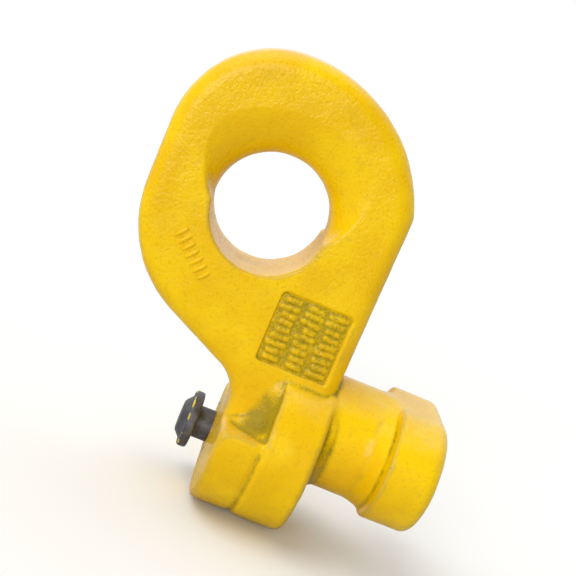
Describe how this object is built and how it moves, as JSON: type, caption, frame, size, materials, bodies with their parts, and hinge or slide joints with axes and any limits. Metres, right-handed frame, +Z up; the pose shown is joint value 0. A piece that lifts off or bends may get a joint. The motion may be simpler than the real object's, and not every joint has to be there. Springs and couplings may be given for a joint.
{
  "type": "container lifting lug",
  "caption": "Lifting lug for a container's corner casting: eye plate, round flange, neck and oblong head, with a sprung locking plunger and pull knob behind the flange.",
  "frame": {"origin": "on the neck's axis, in the plane of the flange's bearing face", "axes": "+X along the neck towards the head, +Z up to the lifting eye, +Y away from the side with the panel"},
  "size_m": [0.1503, 0.075, 0.1848],
  "materials": {
    "yellow_enamel": "gloss enamel over a rough casting",
    "grey_steel": "grey oxide, satin",
    "spring_steel": "oiled",
    "zinc": "zinc plated",
    "black_oxide": "black oxide"
  },
  "bodies": {
    "lug": {"lug_body": "yellow_enamel", "guide_plug": "yellow_enamel", "spring_washer": "zinc", "plunger_spring": "spring_steel", "plug_set_screw": "black_oxide"},
    "locking_plunger": {"plunger": "grey_steel", "pull_knob": "grey_steel", "knob_roll_pin": "spring_steel"}
  },
  "joints": [
    {"name": "plunger_pull", "type": "slide", "parent": "lug", "child": "locking_plunger", "axis": [-1, 0, 0], "range_m": [0, 0.013], "stiffness_N_per_m": 1400, "springref_m": -0.014, "deforming": ["plunger_spring"]}
  ]
}
